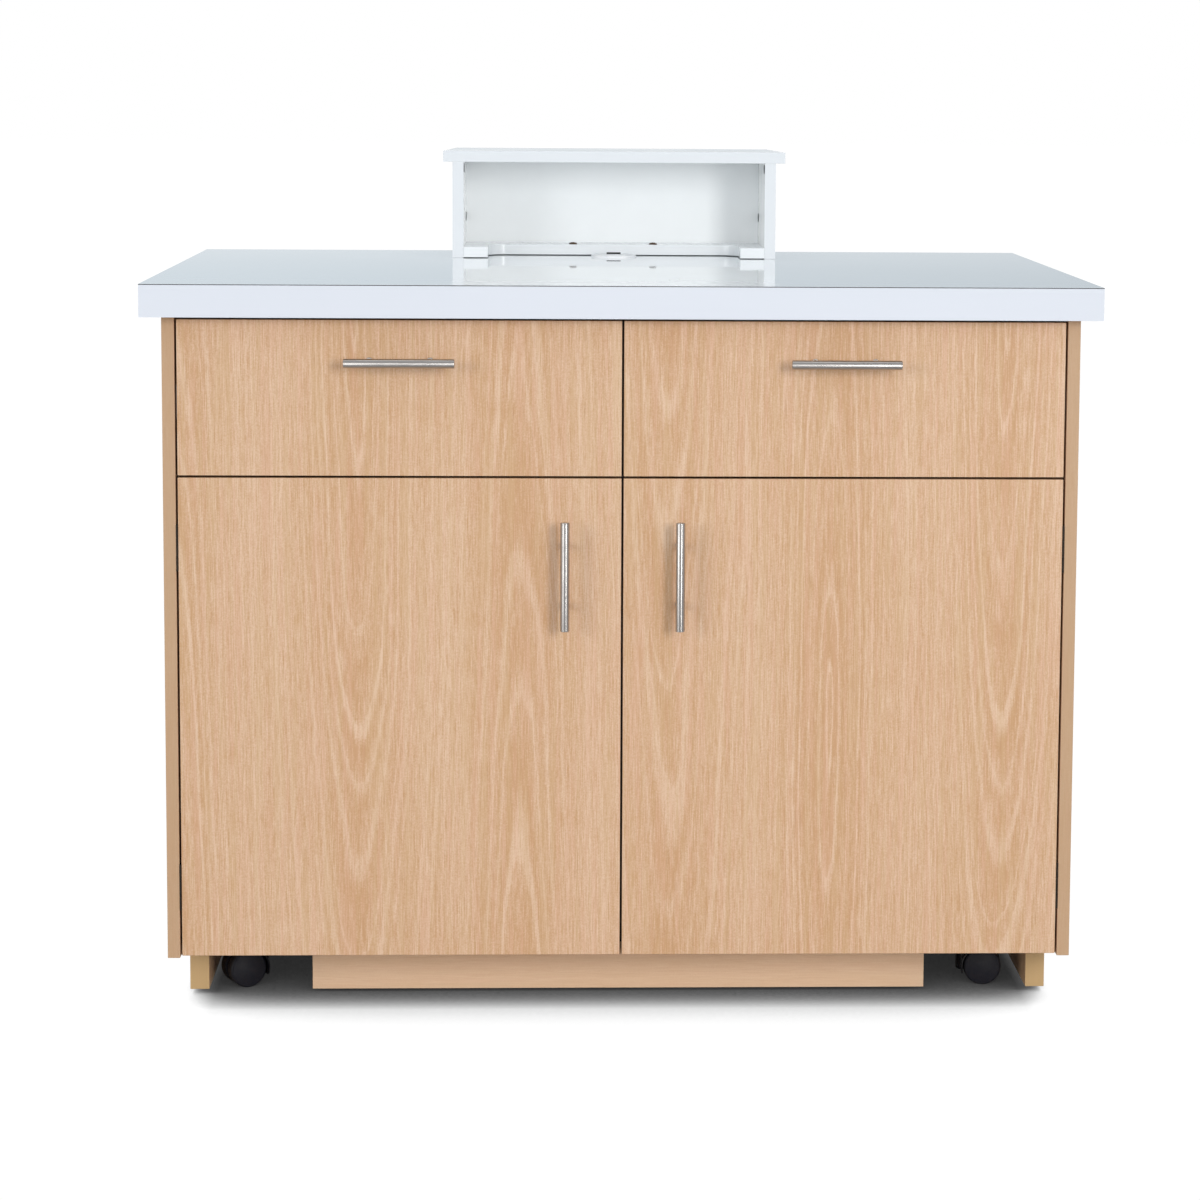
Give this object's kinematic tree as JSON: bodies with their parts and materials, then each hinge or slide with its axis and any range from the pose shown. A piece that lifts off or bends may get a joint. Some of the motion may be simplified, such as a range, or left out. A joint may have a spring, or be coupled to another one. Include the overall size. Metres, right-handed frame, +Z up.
{
  "type": "work table",
  "caption": "Rolling work table: white gloss worktop on an oak-look cabinet with drawers over doors, bar handles, castors, and a small white open shelf box with a cable grommet at the rear.",
  "frame": {"origin": "on the floor under the middle of the whole object's box: halfway across the width, halfway between the fronts of the bar handles and the worktop's back edge", "axes": "+X to the right as seen by a person facing the drawers, +Y from the drawer and door side to the back, +Z up"},
  "size_m": [1.219, 0.923, 1.0945],
  "materials": {
    "oak_laminate": "satin wood-grain laminate, vertical figure",
    "oak_edge": "satin wood-grain edge, slightly yellower",
    "worktop_laminate": "high-gloss white laminate",
    "worktop_core": "raw chipboard",
    "white_board": "gloss white melamine-faced board",
    "white_plastic": "satin white plastic",
    "steel": "brushed stainless steel",
    "zinc": "zinc-plated steel",
    "castor_black": "moulded black plastic",
    "wheel_black": "moulded black plastic"
  },
  "bodies": {
    "cabinet": {"left_side_panel": "oak_laminate", "left_plinth_board": "oak_edge", "left_shelf": "oak_laminate", "right_side_panel": "oak_laminate", "right_plinth_board": "oak_edge", "right_shelf": "oak_laminate", "toe_kick": "oak_laminate", "bottom_panel": "oak_laminate", "centre_divider": "oak_laminate", "back_panel": "oak_laminate", "worktop_core": "worktop_core", "worktop_sheet": "worktop_laminate", "worktop_edge_band": "worktop_laminate", "hutch_left_side": "white_board", "hutch_right_side": "white_board", "hutch_top": "white_board", "hutch_back": "white_board", "hutch_base": "white_board", "grommet_sleeve": "white_plastic", "left_drawer_left_slide_outer": "zinc", "left_drawer_right_slide_outer": "zinc", "left_door_lower_hinge_fixed_leaf": "zinc", "left_door_upper_hinge_fixed_leaf": "zinc", "right_drawer_left_slide_outer": "zinc", "right_drawer_right_slide_outer": "zinc", "right_door_lower_hinge_fixed_leaf": "zinc", "right_door_upper_hinge_fixed_leaf": "zinc"},
    "left_drawer": {"left_drawer_front": "oak_laminate", "left_drawer_handle": "steel", "left_drawer_left_side": "white_board", "left_drawer_right_side": "white_board", "left_drawer_back": "white_board", "left_drawer_bottom": "white_board", "left_drawer_left_slide_inner": "zinc", "left_drawer_right_slide_inner": "zinc"},
    "left_door": {"left_door_panel": "oak_laminate", "left_door_handle": "steel", "left_door_lower_hinge_door_leaf": "zinc", "left_door_upper_hinge_door_leaf": "zinc"},
    "right_drawer": {"right_drawer_front": "oak_laminate", "right_drawer_handle": "steel", "right_drawer_left_side": "white_board", "right_drawer_right_side": "white_board", "right_drawer_back": "white_board", "right_drawer_bottom": "white_board", "right_drawer_left_slide_inner": "zinc", "right_drawer_right_slide_inner": "zinc"},
    "right_door": {"right_door_panel": "oak_laminate", "right_door_handle": "steel", "right_door_lower_hinge_door_leaf": "zinc", "right_door_upper_hinge_door_leaf": "zinc"},
    "front_left_castor": {"front_left_castor_housing": "castor_black"},
    "front_left_wheels": {"front_left_castor_wheels": "wheel_black"},
    "front_right_castor": {"front_right_castor_housing": "castor_black"},
    "front_right_wheels": {"front_right_castor_wheels": "wheel_black"},
    "rear_left_castor": {"rear_left_castor_housing": "castor_black"},
    "rear_left_wheels": {"rear_left_castor_wheels": "wheel_black"},
    "rear_right_castor": {"rear_right_castor_housing": "castor_black"},
    "rear_right_wheels": {"rear_right_castor_wheels": "wheel_black"},
    "grommet_cap": {"grommet_cap": "white_plastic"}
  },
  "joints": [
    {"name": "left_drawer_slide", "type": "slide", "parent": "cabinet", "child": "left_drawer", "axis": [0, -1, 0], "range_m": [0, 0.42]},
    {"name": "right_drawer_slide", "type": "slide", "parent": "cabinet", "child": "right_drawer", "axis": [0, -1, 0], "range_m": [0, 0.42]},
    {"name": "left_door_hinge", "type": "hinge", "parent": "cabinet", "child": "left_door", "pos_m": [-0.56665, -0.4265, 0.38235], "axis": [0, 0, -1], "range_deg": [0, 110]},
    {"name": "right_door_hinge", "type": "hinge", "parent": "cabinet", "child": "right_door", "pos_m": [0.56665, -0.4265, 0.38235], "axis": [0, 0, 1], "range_deg": [0, 110]},
    {"name": "front_left_swivel", "type": "hinge", "parent": "cabinet", "child": "front_left_castor", "pos_m": [-0.478, -0.283, 0.06], "axis": [0, 0, 1], "continuous": true},
    {"name": "front_left_roll", "type": "hinge", "parent": "front_left_castor", "child": "front_left_wheels", "pos_m": [-0.49794, -0.2923, 0.025], "axis": [0.4226, -0.9063, 0], "continuous": true},
    {"name": "front_right_swivel", "type": "hinge", "parent": "cabinet", "child": "front_right_castor", "pos_m": [0.465, -0.287, 0.06], "axis": [0, 0, 1], "continuous": true},
    {"name": "front_right_roll", "type": "hinge", "parent": "front_right_castor", "child": "front_right_wheels", "pos_m": [0.48695, -0.28853, 0.025], "axis": [0.0698, 0.9976, 0], "continuous": true},
    {"name": "rear_left_swivel", "type": "hinge", "parent": "cabinet", "child": "rear_left_castor", "pos_m": [-0.472, 0.332, 0.06], "axis": [0, 0, 1], "continuous": true},
    {"name": "rear_left_roll", "type": "hinge", "parent": "rear_left_castor", "child": "rear_left_wheels", "pos_m": [-0.4924, 0.34024, 0.025], "axis": [-0.3746, -0.9272, 0], "continuous": true},
    {"name": "rear_right_swivel", "type": "hinge", "parent": "cabinet", "child": "rear_right_castor", "pos_m": [0.472, 0.332, 0.06], "axis": [0, 0, 1], "continuous": true},
    {"name": "rear_right_roll", "type": "hinge", "parent": "rear_right_castor", "child": "rear_right_wheels", "pos_m": [0.49024, 0.3443, 0.025], "axis": [-0.5592, 0.829, 0], "continuous": true},
    {"name": "grommet_cap_turn", "type": "hinge", "parent": "cabinet", "child": "grommet_cap", "pos_m": [0, 0.2845, 0.943], "axis": [0, 0, 1], "continuous": true}
  ]
}
